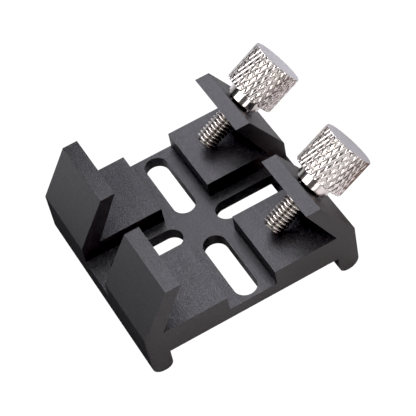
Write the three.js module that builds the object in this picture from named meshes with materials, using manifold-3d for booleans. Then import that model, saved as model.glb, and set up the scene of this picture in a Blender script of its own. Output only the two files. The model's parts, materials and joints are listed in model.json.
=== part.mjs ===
// Telescope finder shoe: an aluminium dovetail base with two knurled thumbscrews.
// Millimetres, +Z up. +Y runs along the slide and +X points from the fixed jaws to the screws.
// The origin is the centre of the plate's underside, midway between the two feet.
import * as THREE from 'three';
import { mergeVertices } from 'three/addons/utils/BufferGeometryUtils.js';
import Module from 'manifold-3d';

const wasm = await Module();
wasm.setup();

// Base, cut from one extrusion
const LENGTH = 38.0;
const WIDTH = 40.7;
const FLOOR_THICKNESS = 2.3;
const SEAT_HEIGHT = 5.5;
const CHANNEL_WIDTH = 9.2;
const GAP_LENGTH = 8.8;

// Jaws, leaning over the seat
const SEAT_WIDTH = 33.6;
const MOUTH_WIDTH = 23.7;
const JAW_TOP_THICKNESS = 2.8;
const JAW_HEIGHT = 9.5;
const RIDGE_HEIGHT = 0.3;
const RIDGE_RADIUS = 0.8;

// Feet, the two rails below the plate
const FOOT_WIDTH = 3.85;
const FOOT_DEPTH = 4.2;
const FOOT_INNER_RADIUS = 1.5;
const FOOT_OUTER_RADIUS = 2.1;

// Mounting slots, four in a plus around the solid centre. Their ends are measured from there.
const SLOT_WIDTH = 4.25;
const SLOT_INNER_END = 3.5;
const SLOT_OUTER_END_ALONG_X = 17.4;
const SLOT_OUTER_END_ALONG_Y = 18.2;
const SLOT_OVERCUT = 0.3;

// Thumbscrews, M4 x 0.7, square to the jaw's outer face. Distances along a screw are
// measured outwards from that face.
const THREAD_RADIUS = 2.0;
const THREAD_PITCH = 0.7;
const THREAD_DEPTH = 0.43;
const THREAD_STARTS_AT = 0.2;
const TIP_RADIUS = 1.45;
const TIP_CHAMFER = 0.5;
const SCREW_TIP_AT = -9.5;
const SCREW_ABOVE_FACE_MIDDLE = 2.1;
const HOLE_RADIUS = 2.08;
const HOLE_CHAMFER = 0.4;
const HOLE_REACH = 6.0;
const NECK_RADIUS = 3.2;
const NECK_STARTS_AT = 0.5;
const NECK_LENGTH = 2.0;
const KNOB_RADIUS = 4.9;
const KNOB_LENGTH = 7.6;
const KNOB_CHAMFER = 0.2;
const SHANK_RADIUS = 1.9;
const SHANK_ENDS_AT = 7.7;
const SHANK_CLEARANCE = 0.1;
const BORE_ENDS_AT = 8.0;

const ARC_STEPS = 5;
const TURNED_STEPS = 64;
const THREAD_STEPS = 32;
const CUT_MARGIN = 1.0;
const MERGE_DISTANCE = 1e-4;

// Worked out from the sizes above
const seatHalf = SEAT_WIDTH / 2;
const mouthHalf = MOUTH_WIDTH / 2;
const jawTop = SEAT_HEIGHT + JAW_HEIGHT;
const ridge = new THREE.Vector2(WIDTH / 2, SEAT_HEIGHT + RIDGE_HEIGHT);
const jawOuterTop = new THREE.Vector2(mouthHalf + JAW_TOP_THICKNESS, jawTop);
const jawFace = jawOuterTop.clone().sub(ridge);
const jawLean = Math.atan2(-jawFace.x, jawFace.y);
const jawLength = (LENGTH - GAP_LENGTH) / 2;
const jawCentre = (GAP_LENGTH + jawLength) / 2;
const screwFoot = ridge.clone().add(jawOuterTop).multiplyScalar(0.5)
  .addScaledVector(jawFace.clone().normalize(), SCREW_ABOVE_FACE_MIDDLE);

const anodised = new THREE.MeshStandardMaterial({ color: 0x3a3a3e, roughness: 0.62, metalness: 0.55 });
const nickel = new THREE.MeshStandardMaterial({ color: 0xe6e0dc, roughness: 0.2, metalness: 1.0 });

// A closed outline through the corners, with an arc of the given radius at each rounded one.
function roundedShape(corners) {
  const shape = new THREE.Shape();
  corners.forEach(([x, y, radius = 0], index) => {
    const corner = new THREE.Vector2(x, y);
    const [beforeX, beforeY] = corners.at(index - 1);
    const [afterX, afterY] = corners[(index + 1) % corners.length];
    const back = new THREE.Vector2(beforeX, beforeY).sub(corner).normalize();
    const ahead = new THREE.Vector2(afterX, afterY).sub(corner).normalize();
    const halfAngle = Math.acos(back.dot(ahead)) / 2;
    const arcStart = corner.clone().addScaledVector(back, radius / Math.tan(halfAngle));
    const inwards = back.clone().add(ahead).normalize();
    const centre = corner.clone().addScaledVector(inwards, radius / Math.sin(halfAngle));
    if (index === 0) shape.moveTo(arcStart.x, arcStart.y);
    else shape.lineTo(arcStart.x, arcStart.y);
    if (radius > 0) {
      const arcEnd = corner.clone().addScaledVector(ahead, radius / Math.tan(halfAngle));
      const startAngle = arcStart.sub(centre).angle();
      const endAngle = arcEnd.sub(centre).angle();
      shape.absarc(centre.x, centre.y, radius, startAngle, endAngle, ahead.cross(back) < 0);
    }
  });
  return shape;
}

// The extrusion's section, seen along +Y: feet, plate, channel, seats and leaning jaws.
function baseSection() {
  const rightHalf = [
    [WIDTH / 2 - FOOT_WIDTH, 0],
    [WIDTH / 2 - FOOT_WIDTH, -FOOT_DEPTH, FOOT_INNER_RADIUS],
    [WIDTH / 2, -FOOT_DEPTH, FOOT_OUTER_RADIUS],
    [ridge.x, ridge.y, RIDGE_RADIUS],
    [jawOuterTop.x, jawOuterTop.y],
    [mouthHalf, jawTop],
    [seatHalf, SEAT_HEIGHT],
    [CHANNEL_WIDTH / 2, SEAT_HEIGHT],
    [CHANNEL_WIDTH / 2, FLOOR_THICKNESS],
  ];
  const leftHalf = rightHalf.map(([x, y, radius]) => [-x, y, radius]).reverse();
  return roundedShape([...rightHalf, ...leftHalf]);
}

function toSolid(geometry) {
  const bare = geometry.clone();
  bare.deleteAttribute('normal');
  bare.deleteAttribute('uv');
  const merged = mergeVertices(bare, MERGE_DISTANCE);
  return new wasm.Manifold(new wasm.Mesh({
    numProp: 3,
    vertProperties: new Float32Array(merged.attributes.position.array),
    triVerts: new Uint32Array(merged.index.array),
  }));
}

function toGeometry(solid) {
  const mesh = solid.getMesh();
  const geometry = new THREE.BufferGeometry();
  geometry.setAttribute('position', new THREE.BufferAttribute(mesh.vertProperties, 3));
  geometry.setIndex(new THREE.BufferAttribute(mesh.triVerts, 1));
  geometry.computeVertexNormals();
  return geometry;
}

// The cut across the middle that parts the front jaws from the rear ones.
function crossGap() {
  const height = jawTop - FLOOR_THICKNESS + CUT_MARGIN;
  const box = new THREE.BoxGeometry(WIDTH + 2 * CUT_MARGIN, GAP_LENGTH, height);
  return box.translate(0, 0, FLOOR_THICKNESS + height / 2);
}

// One slot with round ends, cut from above. It dips just below the plate, so where it runs
// over a foot it leaves a shallow pocket.
function mountingSlot(quarterTurns) {
  const radius = SLOT_WIDTH / 2;
  const outerEnd = quarterTurns % 2 === 0 ? SLOT_OUTER_END_ALONG_X : SLOT_OUTER_END_ALONG_Y;
  const outline = new THREE.Shape();
  outline.absarc(outerEnd - radius, 0, radius, -Math.PI / 2, Math.PI / 2, false);
  outline.absarc(SLOT_INNER_END + radius, 0, radius, Math.PI / 2, 1.5 * Math.PI, false);
  const depth = FLOOR_THICKNESS + SLOT_OVERCUT + CUT_MARGIN;
  const slot = new THREE.ExtrudeGeometry(outline, {
    depth,
    bevelEnabled: false,
    curveSegments: 2 * ARC_STEPS,
  });
  return slot.translate(0, 0, -SLOT_OVERCUT).rotateZ(quarterTurns * Math.PI / 2);
}

// Turns a shape drawn around +Y so that it stands on a movable jaw, along that jaw's screw.
function placeOnJaw(object, side) {
  object.rotation.set(0, Math.PI / 2 - jawLean, 0);
  object.position.set(screwFoot.x, side * jawCentre, screwFoot.y);
  object.updateMatrix();
  return object;
}

function turned(profile, steps) {
  const points = profile.map(([radius, along]) => new THREE.Vector2(radius, along));
  return new THREE.LatheGeometry(points, steps).rotateX(Math.PI / 2);
}

// The tapped hole, drawn plain at a running fit, with a chamfer at its outer mouth.
function tappedHole(side) {
  const hole = turned([
    [0, -HOLE_REACH],
    [HOLE_RADIUS, -HOLE_REACH],
    [HOLE_RADIUS, -HOLE_CHAMFER],
    [HOLE_RADIUS + HOLE_CHAMFER + CUT_MARGIN, CUT_MARGIN],
    [0, CUT_MARGIN],
  ], TURNED_STEPS);
  return hole.applyMatrix4(placeOnJaw(new THREE.Object3D(), side).matrix);
}

function dovetailBase() {
  const bar = new THREE.ExtrudeGeometry(baseSection(), {
    depth: LENGTH,
    bevelEnabled: false,
    curveSegments: ARC_STEPS,
  });
  bar.rotateX(Math.PI / 2).translate(0, LENGTH / 2, 0);
  const cuts = [crossGap()];
  for (let quarterTurns = 0; quarterTurns < 4; quarterTurns += 1) cuts.push(mountingSlot(quarterTurns));
  for (const side of [-1, 1]) cuts.push(tappedHole(side));
  const solid = cuts.reduce((body, cut) => body.subtract(toSolid(cut)), toSolid(bar));
  return new THREE.Mesh(toGeometry(solid), anodised);
}

// Knurled head and neck in one, with a blind bore that takes the stud's shank.
function thumbscrewKnob() {
  const knobStart = NECK_STARTS_AT + NECK_LENGTH;
  const knobEnd = knobStart + KNOB_LENGTH;
  const boreRadius = SHANK_RADIUS + SHANK_CLEARANCE;
  return new THREE.Mesh(turned([
    [0, BORE_ENDS_AT],
    [boreRadius, BORE_ENDS_AT],
    [boreRadius, NECK_STARTS_AT],
    [NECK_RADIUS, NECK_STARTS_AT],
    [NECK_RADIUS, knobStart],
    [KNOB_RADIUS - KNOB_CHAMFER, knobStart],
    [KNOB_RADIUS, knobStart + KNOB_CHAMFER],
    [KNOB_RADIUS, knobEnd - KNOB_CHAMFER],
    [KNOB_RADIUS - KNOB_CHAMFER, knobEnd],
    [0, knobEnd],
  ], TURNED_STEPS), nickel);
}

// Stud with a chamfered tip. Each thread turn is drawn as a ring of the same pitch and depth.
function thumbscrewStud() {
  const rootRadius = THREAD_RADIUS - THREAD_DEPTH;
  const threadEnd = SCREW_TIP_AT + TIP_CHAMFER;
  const turns = Math.floor((THREAD_STARTS_AT - threadEnd) / THREAD_PITCH);
  const profile = [[0, SCREW_TIP_AT], [TIP_RADIUS, SCREW_TIP_AT]];
  for (let turn = 0; turn < turns; turn += 1) {
    const crest = threadEnd + turn * THREAD_PITCH;
    profile.push([THREAD_RADIUS, crest]);
    profile.push([rootRadius, crest + THREAD_PITCH / 2]);
  }
  profile.push([rootRadius, NECK_STARTS_AT], [SHANK_RADIUS, NECK_STARTS_AT + SHANK_CLEARANCE]);
  profile.push([SHANK_RADIUS, SHANK_ENDS_AT], [0, SHANK_ENDS_AT]);
  return new THREE.Mesh(turned(profile, THREAD_STEPS), nickel);
}

function named(mesh, name) {
  mesh.name = name;
  return mesh;
}

const finderShoe = new THREE.Group();
finderShoe.add(named(dovetailBase(), 'dovetail_base'));
for (const [place, side] of [['front', -1], ['rear', 1]]) {
  const thumbscrew = placeOnJaw(new THREE.Group(), side);
  thumbscrew.add(named(thumbscrewKnob(), `${place}_thumbscrew_knob`));
  thumbscrew.add(named(thumbscrewStud(), `${place}_thumbscrew_stud`));
  finderShoe.add(thumbscrew);
}

export default finderShoe;
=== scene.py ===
"""Telescope finder shoe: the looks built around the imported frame. Metres, +Z up."""

import json
import math

import bmesh
import bpy
from mathutils import Matrix, Vector


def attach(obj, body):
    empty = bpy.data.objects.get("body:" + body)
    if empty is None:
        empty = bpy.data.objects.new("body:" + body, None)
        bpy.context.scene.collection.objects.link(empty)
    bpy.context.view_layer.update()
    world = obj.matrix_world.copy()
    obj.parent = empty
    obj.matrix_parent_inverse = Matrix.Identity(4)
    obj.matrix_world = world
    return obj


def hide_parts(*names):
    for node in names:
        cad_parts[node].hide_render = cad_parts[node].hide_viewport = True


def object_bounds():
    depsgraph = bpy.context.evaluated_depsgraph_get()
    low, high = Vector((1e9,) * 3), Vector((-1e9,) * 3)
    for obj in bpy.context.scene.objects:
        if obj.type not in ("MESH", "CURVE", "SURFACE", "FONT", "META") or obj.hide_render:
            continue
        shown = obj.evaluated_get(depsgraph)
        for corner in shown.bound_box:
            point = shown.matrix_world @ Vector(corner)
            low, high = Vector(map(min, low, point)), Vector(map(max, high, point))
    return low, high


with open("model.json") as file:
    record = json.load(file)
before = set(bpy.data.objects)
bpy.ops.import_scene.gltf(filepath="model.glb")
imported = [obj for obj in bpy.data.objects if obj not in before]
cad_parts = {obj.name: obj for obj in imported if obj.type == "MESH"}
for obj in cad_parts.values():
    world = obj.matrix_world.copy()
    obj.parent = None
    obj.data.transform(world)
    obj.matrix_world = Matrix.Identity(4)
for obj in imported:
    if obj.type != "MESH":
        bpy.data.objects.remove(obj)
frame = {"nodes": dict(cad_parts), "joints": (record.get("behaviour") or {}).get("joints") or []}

MM = 0.001
CAD_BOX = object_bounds()

# Thumbscrew sizes in millimetres. Places are along its axis, outwards from the jaw's outer face
THREAD_RADIUS = 2.0
THREAD_PITCH = 0.7
THREAD_DEPTH = 0.613 * THREAD_PITCH
THREAD_CREST = THREAD_PITCH / 8
THREAD_FLANK = THREAD_DEPTH * math.tan(math.radians(30))
ROOT_RADIUS = THREAD_RADIUS - THREAD_DEPTH
THREAD_STARTS_AT = 0.2
TIP_AT = -9.5
TIP_CHAMFER = 0.45
SHANK_RADIUS = 1.9
SHANK_CHAMFER = 0.1
SHANK_ENDS_AT = 7.7
BORE_RADIUS = 2.0
BORE_ENDS_AT = 8.0
NECK_RADIUS = 3.2
NECK_STARTS_AT = 0.5
NECK_CHAMFER = 0.15
KNOB_RADIUS = 4.9
KNOB_STARTS_AT = 2.5
KNOB_ENDS_AT = 10.1
KNOB_CHAMFER = 0.1
RIM_WIDTH = 0.12

# Diamond knurl: flat-topped diamonds between two crossing sets of V grooves, left-handed ones
# cut shallow and right-handed ones deeper
KNURL_STARTS = 32
KNURL_AXIAL_PITCH = 2.87
KNURL_DEPTHS = (0.08, 0.15)
KNURL_FLAT_SHARE = 0.56

# How finely the round parts are divided
COLUMNS_PER_START = 12
ROWS_PER_PITCH = 24
THREAD_COLUMNS = 72

# Millimetres: corners and thread points nearer than a weld are joined, and an edge of the thread
# shorter than a sliver is removed
CORNER_WELD = 0.002
THREAD_WELD = 0.004
THREAD_SLIVER = 0.003

BEVEL_WIDTH = 0.25

# The photo's camera, in degrees and millimetres
CAMERA_AZIMUTH = -18.96
CAMERA_ELEVATION = 50.19
CAMERA_ROLL = -13.24
CAMERA_TARGET = (2.14, -0.26, 5.5)
CAMERA_DISTANCE = 312.75
LENS = 156.6
SENSOR_WIDTH = 36

# The studio, in millimetres: cards lie just over the floor, and the flag hangs behind the object
CARD_LIFT = 0.1
FLAG_HEIGHT = 60

COOL = (0.91, 0.89, 1.0)
WARM = (1.0, 0.93, 0.85)
ROSY = (1.0, 0.80, 0.76)
FAINTLY_ROSY = (1.0, 0.95, 0.94)
NEUTRAL = (1, 1, 1)


def link(name, mesh):
    piece = bpy.data.objects.new(name, mesh)
    bpy.context.scene.collection.objects.link(piece)
    return piece


def finish_mesh(bm, name, sharp_angle):
    """Smooth shading, with a crease where faces meet at more than sharp_angle degrees."""
    mesh = bpy.data.meshes.new(name)
    bmesh.ops.recalc_face_normals(bm, faces=bm.faces)
    bm.to_mesh(mesh)
    bm.free()
    mesh.shade_smooth()
    mesh.set_sharp_from_angle(angle=math.radians(sharp_angle))
    return link(name, mesh)


# ---------------------------------------------------------------- geometry


def shoe_base():
    """The CAD base with its facets joined and every hard edge broken by a small bevel."""
    same_plane = math.radians(0.4)
    hard_angle = math.radians(28)
    bm = bmesh.new()
    bm.from_mesh(frame["nodes"]["dovetail_base"].data)
    bmesh.ops.remove_doubles(bm, verts=bm.verts, dist=CORNER_WELD * MM)
    bmesh.ops.dissolve_limit(bm, angle_limit=same_plane, verts=bm.verts, edges=bm.edges)
    worn_and_highlit_edge = bm.faces.layers.float.new("edge_wear_and_highlight")
    shared = [edge for edge in bm.edges if len(edge.link_faces) == 2]
    hard = [edge for edge in shared if edge.calc_face_angle(0) > hard_angle]
    result = bmesh.ops.bevel(
        bm, geom=hard, offset=BEVEL_WIDTH * MM, offset_type="OFFSET", segments=2, profile=0.5,
        affect="EDGES", clamp_overlap=True,
    )
    # Bevel faces are marked; the material lightens them for edge wear and a painted highlight
    for face in result["faces"]:
        face[worn_and_highlit_edge] = 1.0
    base = finish_mesh(bm, "shoe_base", sharp_angle=60)
    flatten = base.modifiers.new("flat_faces", "WEIGHTED_NORMAL")
    flatten.keep_sharp = True
    flatten.weight = 100
    return base


def around(radius, angle, along):
    """A point of a turned part, from millimetres to metres."""
    return (radius * math.cos(angle) * MM, radius * math.sin(angle) * MM, along * MM)


def lathe(bm, rows, columns):
    """Joins rings of vertices; a row is a function of the column, giving (radius, along).

    Each vertex keeps its radius in from_axis, for the rings that turning leaves.
    """
    from_axis = bm.verts.layers.float.new("from_axis")
    rings = []
    for row in rows:
        ring = []
        for column in range(columns):
            radius, along = row(column)
            vert = bm.verts.new(around(radius, 2 * math.pi * column / columns, along))
            vert[from_axis] = radius
            ring.append(vert)
        rings.append(ring)
    for lower, upper in zip(rings, rings[1:]):
        for column in range(columns):
            after = (column + 1) % columns
            bm.faces.new((lower[column], lower[after], upper[after], upper[column]))
    return rings


def cap(bm, ring, along):
    """Closes a ring with a fan of triangles."""
    centre = bm.verts.new((0, 0, along * MM))
    for column, vert in enumerate(ring):
        bm.faces.new((vert, ring[(column + 1) % len(ring)], centre))


def plain_row(radius, along):
    return lambda column: (radius, along)


def knurl_depth(column, along):
    """How far the knurl is cut below its flats."""
    turn = column / COLUMNS_PER_START
    rise = along / KNURL_AXIAL_PITCH
    deepest = 0.0
    for phase, groove_depth in zip((turn + rise, turn - rise), KNURL_DEPTHS):
        from_groove = 2 * abs(phase - round(phase))
        deepest = max(deepest, groove_depth * (1 - from_groove / (1 - KNURL_FLAT_SHARE)))
    return deepest


def knurled_row(along):
    to_end = min(along - KNOB_STARTS_AT, KNOB_ENDS_AT - along)
    limit = KNOB_RADIUS - max(0.0, KNOB_CHAMFER - to_end)
    return lambda column: (min(limit, KNOB_RADIUS - knurl_depth(column, along)), along)


def thumbscrew_knob(name):
    """A bored neck and a knurled head, with its grooves marked for painted shade and its flat
    turned end marked.
    """
    step = KNURL_AXIAL_PITCH / ROWS_PER_PITCH
    # Knurled rows stay at least this share of a step clear of the knob's ends
    clear = 0.2
    first = math.ceil(KNOB_STARTS_AT / step + clear)
    last = math.floor(KNOB_ENDS_AT / step - clear)
    rows = [
        plain_row(BORE_RADIUS, BORE_ENDS_AT),
        plain_row(BORE_RADIUS, NECK_STARTS_AT),
        plain_row(NECK_RADIUS - NECK_CHAMFER, NECK_STARTS_AT),
        plain_row(NECK_RADIUS, NECK_STARTS_AT + NECK_CHAMFER),
        plain_row(NECK_RADIUS, KNOB_STARTS_AT - NECK_CHAMFER / 2),
        plain_row(NECK_RADIUS + NECK_CHAMFER / 2, KNOB_STARTS_AT),
        plain_row(KNOB_RADIUS - KNOB_CHAMFER, KNOB_STARTS_AT),
    ]
    knurled_from = len(rows)
    rows += [knurled_row(index * step) for index in range(first, last + 1)]
    knurled_to = len(rows)
    rows += [
        plain_row(KNOB_RADIUS - KNOB_CHAMFER, KNOB_ENDS_AT),
        plain_row(KNOB_RADIUS - KNOB_CHAMFER - RIM_WIDTH, KNOB_ENDS_AT),
        plain_row(KNOB_RADIUS / 2, KNOB_ENDS_AT),
    ]
    bm = bmesh.new()
    groove = bm.verts.layers.float.new("groove")
    rings = lathe(bm, rows, KNURL_STARTS * COLUMNS_PER_START)
    # groove marks how deep a vertex lies in the knurl; the material paints shade there
    for ring in rings[knurled_from:knurled_to]:
        for vert in ring:
            depth = KNOB_RADIUS - vert.co.xy.length / MM
            vert[groove] = min(1.0, max(0.0, depth / max(KNURL_DEPTHS)))
    # The end face's outer edge gets a painted dark reflection, as dark as a groove, which clears
    # within RIM_WIDTH
    for vert in rings[knurled_to]:
        vert[groove] = 1.0
    cap(bm, rings[0], BORE_ENDS_AT)
    cap(bm, rings[-1], KNOB_ENDS_AT)
    turned = bm.faces.layers.float.new("turned")
    end_face_from = (KNOB_ENDS_AT - 0.01) * MM
    for face in bm.faces:
        if face.calc_center_median().z > end_face_from:
            face[turned] = 1.0
    return finish_mesh(bm, name, sharp_angle=22)


def thread_rows():
    """The thread's profile as (along, radius), with spare turns before the tip and past the end."""
    profile = (
        (0.0, THREAD_RADIUS),
        (THREAD_CREST, THREAD_RADIUS),
        (THREAD_CREST + THREAD_FLANK, ROOT_RADIUS),
        (THREAD_PITCH - THREAD_FLANK, ROOT_RADIUS),
    )
    turns = math.ceil((THREAD_STARTS_AT - TIP_AT) / THREAD_PITCH) + 3
    rows = []
    for turn in range(-1, turns):
        for phase, radius in profile:
            rows.append((TIP_AT + turn * THREAD_PITCH + phase, radius))
    return rows


def thread_point(along, radius):
    """Cuts the thread off at its end, and at its tip with a chamfer; gives (radius, along)."""
    at_tip = THREAD_RADIUS - TIP_CHAMFER
    if along <= TIP_AT:
        return (min(radius, at_tip), TIP_AT)
    if along >= THREAD_STARTS_AT:
        return (ROOT_RADIUS, THREAD_STARTS_AT)
    return (min(radius, at_tip + (along - TIP_AT)), along)


def thumbscrew_stud(name):
    """M4 stud: one helical thread, chamfered at the tip, and a plain shank inside the knob."""
    bm = bmesh.new()
    # groove is 0 at the crest and 1 at the root; the material paints shade in the roots
    groove = bm.verts.layers.float.new("groove")
    grid = []
    for column in range(THREAD_COLUMNS + 1):
        side = []
        for start, uncut in thread_rows():
            radius, along = thread_point(start + THREAD_PITCH * column / THREAD_COLUMNS, uncut)
            vert = bm.verts.new(around(radius, 2 * math.pi * column / THREAD_COLUMNS, along))
            vert[groove] = (THREAD_RADIUS - radius) / THREAD_DEPTH
            side.append(vert)
        grid.append(side)
    for side, after in zip(grid, grid[1:]):
        for index in range(len(side) - 1):
            bm.faces.new((side[index], after[index], after[index + 1], side[index + 1]))
    bmesh.ops.remove_doubles(bm, verts=bm.verts, dist=THREAD_WELD * MM)
    bmesh.ops.dissolve_degenerate(bm, edges=bm.edges, dist=THREAD_SLIVER * MM)
    open_edges = [edge for edge in bm.edges if edge.is_boundary]
    tip = [edge for edge in open_edges if edge.verts[0].co.z < 0]
    top = [edge for edge in open_edges if edge.verts[0].co.z > 0]
    bmesh.ops.holes_fill(bm, edges=tip, sides=0)
    shank = (
        (ROOT_RADIUS, NECK_STARTS_AT),
        (SHANK_RADIUS, NECK_STARTS_AT + SHANK_CHAMFER),
        (SHANK_RADIUS, SHANK_ENDS_AT),
    )
    for radius, along in shank:
        grown = bmesh.ops.extrude_edge_only(bm, edges=top)["geom"]
        top = [item for item in grown if isinstance(item, bmesh.types.BMEdge)]
        for vert in {vert for edge in top for vert in edge.verts}:
            flat = vert.co.xy.normalized() * radius * MM
            vert.co = (flat.x, flat.y, along * MM)
    bmesh.ops.holes_fill(bm, edges=top, sides=0)
    return finish_mesh(bm, name, sharp_angle=30)


# ---------------------------------------------------------------- materials


def rgb(red, green, blue):
    return (red, green, blue, 1)


def grey(value):
    return rgb(value, value, value)


class Graph:
    """A short way to build a material's nodes."""

    def __init__(self, name):
        self.material = bpy.data.materials.new(name)
        self.material.use_nodes = True
        self.tree = self.material.node_tree
        self.shader = self.tree.nodes["Principled BSDF"]

    def add(self, kind, inputs=None, **settings):
        node = self.tree.nodes.new("ShaderNode" + kind)
        for key, value in settings.items():
            setattr(node, key, value)
        for key, value in (inputs or {}).items():
            self.put(node.inputs[key], value)
        return node

    def put(self, socket, value):
        if isinstance(value, bpy.types.NodeSocket):
            self.tree.links.new(value, socket)
        else:
            socket.default_value = value

    def attribute(self, name):
        return self.add("Attribute", attribute_name=name).outputs["Fac"]

    def point(self, scale=(1, 1, 1)):
        """Object coordinates in millimetres, stretched by scale."""
        coordinates = self.add("TexCoord")
        mapping = self.add("Mapping", {"Vector": coordinates.outputs["Object"]})
        mapping.inputs["Scale"].default_value = [factor / MM for factor in scale]
        return mapping.outputs["Vector"]

    def noise(self, vector, scale, detail=2.0, rough=0.5):
        inputs = {"Vector": vector, "Scale": scale, "Detail": detail, "Roughness": rough}
        return self.add("TexNoise", inputs).outputs["Fac"]

    def ramp(self, value, low, high, to_low=0.0, to_high=1.0):
        node = self.add("MapRange", {"Value": value, "From Min": low, "From Max": high})
        self.put(node.inputs["To Min"], to_low)
        self.put(node.inputs["To Max"], to_high)
        return node.outputs["Result"]

    def math(self, operation, first, second):
        node = self.add("Math", operation=operation)
        self.put(node.inputs[0], first)
        self.put(node.inputs[1], second)
        return node.outputs["Value"]

    def mix(self, factor, first, second):
        node = self.add("Mix", data_type="RGBA")
        self.put(node.inputs["Factor"], factor)
        self.put(node.inputs["A"], first)
        self.put(node.inputs["B"], second)
        return node.outputs["Result"]

    def bump(self, height, strength, distance):
        inputs = {"Height": height, "Strength": strength, "Distance": distance * MM}
        return self.add("Bump", inputs).outputs["Normal"]

    def surface(self, **inputs):
        for name, value in inputs.items():
            self.put(self.shader.inputs[name.replace("_", " ")], value)
        return self.material


def anodised_material():
    """Black dye on grainy metal, with wear and a painted highlight on its edges; faces that look up
    show the most grain.
    """
    darkest = rgb(0.003, 0.003, 0.004)
    dusty = rgb(0.036, 0.036, 0.041)
    even = rgb(0.016, 0.016, 0.018)
    speck = rgb(0.14, 0.14, 0.16)
    bare_metal_and_highlight = rgb(0.24, 0.24, 0.27)
    along_extrusion = (3.0, 0.05, 3.0)

    g = Graph("black_anodised_aluminium")
    spot = g.point()
    grain = g.noise(spot, 2.6, 3.0, 0.75)
    fine = g.noise(spot, 8.0, 2.0, 0.6)
    cloud = g.noise(spot, 0.12)
    streaks = g.noise(g.point(along_extrusion), 1.0, 3.0, 0.6)
    upward = g.add("SeparateXYZ", {"Vector": g.add("TexCoord").outputs["Normal"]}).outputs["Z"]
    grainy = g.ramp(upward, 0.6, 0.95, 0.35, 1.0)
    worn_and_highlit_edge = g.attribute("edge_wear_and_highlight")
    edge_chips_and_glints = g.ramp(g.noise(spot, 0.8, 3.0, 0.65), 0.38, 0.62)

    dye = g.mix(g.ramp(grain, 0.35, 0.65), darkest, dusty)
    dye = g.mix(g.ramp(cloud, 0.3, 0.7, 0.0, 0.5), dye, even)
    specks = g.ramp(g.noise(spot, 3.4, 1.0), 0.60, 0.75, 0.0, 0.4)
    dye = g.mix(g.math("MULTIPLY", specks, grainy), dye, speck)
    dye = g.mix(grainy, even, dye)
    # Bevel faces turn lighter in broken patches: part edge wear, part painted highlight
    wear_and_highlight = g.math("MULTIPLY", worn_and_highlit_edge, edge_chips_and_glints)
    colour = g.mix(g.math("MULTIPLY", wear_and_highlight, 0.15), dye, bare_metal_and_highlight)

    rough = g.ramp(grain, 0.3, 0.7, 0.36, 0.54)
    rough = g.math("ADD", rough, g.ramp(streaks, 0.3, 0.7, -0.04, 0.04))
    rough = g.math("SUBTRACT", rough, g.math("MULTIPLY", worn_and_highlit_edge, 0.16))

    height = g.math("ADD", grain, g.math("MULTIPLY", fine, 0.4))
    height = g.math("ADD", height, g.math("MULTIPLY", streaks, 0.30))
    height = g.math("MULTIPLY", height, grainy)
    return g.surface(
        Base_Color=colour, Roughness=rough, Normal=g.bump(height, 0.9, 0.08), IOR=1.65,
    )


def nickel_material(name, colour, rough_low, rough_high, groove_soil_and_shade):
    """Bright plating with painted shade, and some grime, in its grooves; turned faces are satin,
    with rings around the axis.
    """
    filmed = rgb(*(0.9 * channel for channel in colour[:3]))
    satin = rgb(0.70, 0.69, 0.73)
    satin_roughness = 0.32
    soil_and_painted_shade = rgb(0.03, 0.025, 0.02)

    g = Graph(name)
    spot = g.point()
    film = g.noise(spot, 0.5, 3.0)
    pits = g.noise(spot, 9.0)
    turned = g.attribute("turned")
    ring_inputs = {"W": g.attribute("from_axis"), "Scale": 5.0, "Detail": 2.0}
    rings = g.add("TexNoise", ring_inputs, noise_dimensions="1D").outputs["Fac"]

    tone = g.mix(g.ramp(film, 0.3, 0.7), colour, filmed)
    tone = g.mix(turned, tone, satin)
    # Painted shade, with a little grime, darkens the grooves, the thread roots and the end face's
    # rim
    tone = g.mix(g.ramp(g.attribute("groove"), 0.4, 0.95, 0.0, groove_soil_and_shade), tone, soil_and_painted_shade)
    rough = g.ramp(film, 0.3, 0.7, rough_low, rough_high)
    rough = g.ramp(turned, 0.0, 1.0, rough, satin_roughness)
    height = g.ramp(turned, 0.0, 1.0, pits, rings)
    return g.surface(
        Base_Color=tone, Metallic=1.0, Roughness=rough, Normal=g.bump(height, 0.15, 0.01),
    )


def matt_material(name, colour):
    return Graph(name).surface(Base_Color=colour, Roughness=0.9)


# ---------------------------------------------------------------- studio


def set_view():
    """Plain colours, with the black level raised a little to reach the photo's deep blacks."""
    view = bpy.context.scene.view_settings
    view.view_transform = "Standard"
    view.look = "None"
    view.use_curve_mapping = True
    view.curve_mapping.black_level = (0.012, 0.012, 0.012)
    view.curve_mapping.update()


def add_camera():
    angles = (CAMERA_AZIMUTH, CAMERA_ELEVATION, CAMERA_ROLL)
    azimuth, elevation, roll = (math.radians(angle) for angle in angles)
    forward = Vector((
        -math.sin(azimuth) * math.cos(elevation),
        math.cos(azimuth) * math.cos(elevation),
        -math.sin(elevation),
    ))
    level = forward.cross(Vector((0, 0, 1))).normalized()
    above = level.cross(forward)
    right = level * math.cos(roll) + above * math.sin(roll)
    up = right.cross(forward)
    data = bpy.data.cameras.new("camera")
    data.lens = LENS
    data.sensor_width = SENSOR_WIDTH
    data.clip_start = 0.01
    camera = bpy.data.objects.new("camera", data)
    place = Vector(CAMERA_TARGET) * MM - forward * CAMERA_DISTANCE * MM
    rotation = Matrix((right, up, -forward)).transposed().to_4x4()
    camera.matrix_world = Matrix.Translation(place) @ rotation
    bpy.context.scene.collection.objects.link(camera)
    bpy.context.scene.camera = camera


def flat_sheet(name, centre, size, level, material):
    """A level sheet of the stage; centre and size are along X and Y."""
    bm = bmesh.new()
    corners = []
    for x, y in ((-0.5, -0.5), (0.5, -0.5), (0.5, 0.5), (-0.5, 0.5)):
        corners.append(bm.verts.new((centre[0] + x * size[0], centre[1] + y * size[1], level)))
    bm.faces.new(corners)
    mesh = bpy.data.meshes.new(name)
    bm.to_mesh(mesh)
    bm.free()
    mesh.materials.append(material)
    sheet = link(name, mesh)
    return sheet


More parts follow.
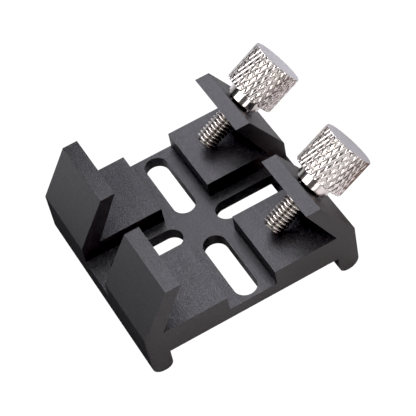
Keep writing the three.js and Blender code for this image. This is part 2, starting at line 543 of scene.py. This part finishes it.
def add_floor():
    """A white floor that only the camera sees, and in its place a matt one for the light.

    The camera doesn't see the cards beside the object or the flag behind it either. They shade
    what the metal reflects; the two dark cards are painted shadow on the floor.
    """
    level = CAD_BOX[0][2]
    floor_size = (3, 3)
    white = Graph("white_backdrop").surface(
        Base_Color=grey(0.0), Roughness=1.0, Emission_Color=grey(1.0), Emission_Strength=1.05,
    )
    backdrop = flat_sheet("backdrop", (0, 0), floor_size, level, white)
    backdrop.visible_diffuse = False
    backdrop.visible_glossy = False
    backdrop.visible_transmission = False
    backdrop.visible_shadow = False

    pale = matt_material("pale_floor", grey(0.72))
    # The dark cards are painted shadow: they lie where the floor would be in the object's shade
    dark = matt_material("painted_shadow_card", grey(0.06))
    brown = matt_material("brown_card", rgb(0.13, 0.095, 0.08))
    dull = matt_material("grey_card", grey(0.40))
    black = matt_material("black_flag", grey(0.02))
    on_floor = level + CARD_LIFT * MM
    for name, centre, size, height, material in (
        ("floor", (0, 0), floor_size, level, pale),
        ("left_shadow_card", (-0.055, -0.010), (0.070, 0.10), on_floor, dark),
        ("front_card", (0.072, -0.038), (0.090, 0.072), on_floor, brown),
        ("side_card", (0.046, 0.008), (0.020, 0.018), on_floor, dull),
        ("flag", (-0.024, 0.067), (0.056, 0.062), FLAG_HEIGHT * MM, black),
        ("right_shadow_card", (0.105, 0.080), (0.080, 0.090), on_floor, dark),
    ):
        sheet = flat_sheet(name, centre, size, height, material)
        sheet.visible_camera = False


def add_world():
    """Soft light from overhead and the horizon; the metal reflects a dark band between them."""
    world = bpy.data.worlds.new("studio")
    world.use_nodes = True
    nodes, links = world.node_tree.nodes, world.node_tree.links
    background = nodes["Background"]
    coordinates = nodes.new("ShaderNodeTexCoord")
    split = nodes.new("ShaderNodeSeparateXYZ")
    ramp = nodes.new("ShaderNodeValToRGB")
    links.new(coordinates.outputs["Generated"], split.inputs["Vector"])
    links.new(split.outputs["Z"], ramp.inputs["Fac"])
    links.new(ramp.outputs["Color"], background.inputs["Color"])
    bands = ((0.0, 0.45), (0.30, 0.40), (0.40, 0.08), (0.64, 0.09), (0.80, 0.60), (1.0, 0.95))
    stops = ramp.color_ramp.elements
    for index, (height, brightness) in enumerate(bands):
        stop = stops[index] if index < 2 else stops.new(height)
        stop.position = height
        stop.color = grey(brightness)
    bpy.context.scene.world = world


def add_light(name, place, aim, size, power, colour):
    """A rectangular area light at place, turned towards aim; size is its width and height."""
    data = bpy.data.lights.new(name, "AREA")
    data.shape = "RECTANGLE"
    data.size, data.size_y = size
    data.energy = power
    data.color = colour
    light = bpy.data.objects.new(name, data)
    light.location = Vector(place)
    direction = Vector(aim) - light.location
    light.rotation_euler = direction.to_track_quat("-Z", "Y").to_euler()
    bpy.context.scene.collection.objects.link(light)


def add_lights():
    """One big soft light from behind and above, and small weak ones that shape the sides."""
    centre = (0, 0, 0)
    add_light("back_box", (0.10, 0.36, 0.46), centre, (0.36, 0.40), 2.2, COOL)
    add_light("left_box", (-0.14, -0.01, 0.14), (0, -0.01, 0), (0.15, 0.10), 0.12, FAINTLY_ROSY)
    add_light("back_left_strip", (-0.30, 0.24, 0.09), centre, (0.10, 0.06), 0.20, COOL)
    add_light("front_left_card", (-0.08, -0.19, 0.06), (0, 0, 0.01), (0.10, 0.06), 0.030, WARM)
    add_light("front_strip", (0.10, -0.38, 0.30), centre, (0.12, 0.08), 0.14, NEUTRAL)
    add_light("front_fill", (0.11, -0.12, 0.04), (0.01, -0.02, 0), (0.06, 0.06), 0.11, ROSY)


# ---------------------------------------------------------------- assembly


def place(piece, joint_name, body, node, slot, material):
    """Stands a piece drawn around +Z on its screw's axis, at the jaw's outer face."""
    joint = next(j for j in frame["joints"] if j["name"] == joint_name)
    axis = Vector(joint["axis"])
    up = Vector((0, 1, 0)).cross(axis).normalized() * -1
    across = axis.cross(up)
    rotation = Matrix((up, across, axis)).transposed().to_4x4()
    piece.data.transform(Matrix.Translation(joint["pos_m"]) @ rotation)
    piece.data.materials.append(material)
    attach(piece, body)
    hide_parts(node)


set_view()

anodised = anodised_material()
# The last argument sets how much painted shade, with a little grime, goes into the grooves
knob_nickel = nickel_material("bright_nickel_knob", rgb(0.95, 0.90, 0.88), 0.10, 0.18, 0.30)
thread_nickel = nickel_material("bright_nickel_thread", rgb(0.90, 0.86, 0.83), 0.18, 0.28, 0.80)

base = shoe_base()
base.data.materials.append(anodised)
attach(base, "base")
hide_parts("dovetail_base")

for side in ("front", "rear"):
    screw = f"{side}_thumbscrew"
    turn = f"{side}_screw_turn"
    knob = thumbscrew_knob(f"{side}_knurled_knob")
    place(knob, turn, f"{side}_knob", f"{screw}_knob", "nickel_knob", knob_nickel)
    stud = thumbscrew_stud(f"{side}_threaded_stud")
    place(stud, turn, f"{side}_stud", f"{screw}_stud", "nickel_thread", thread_nickel)

add_camera()
add_floor()
add_world()
add_lights()
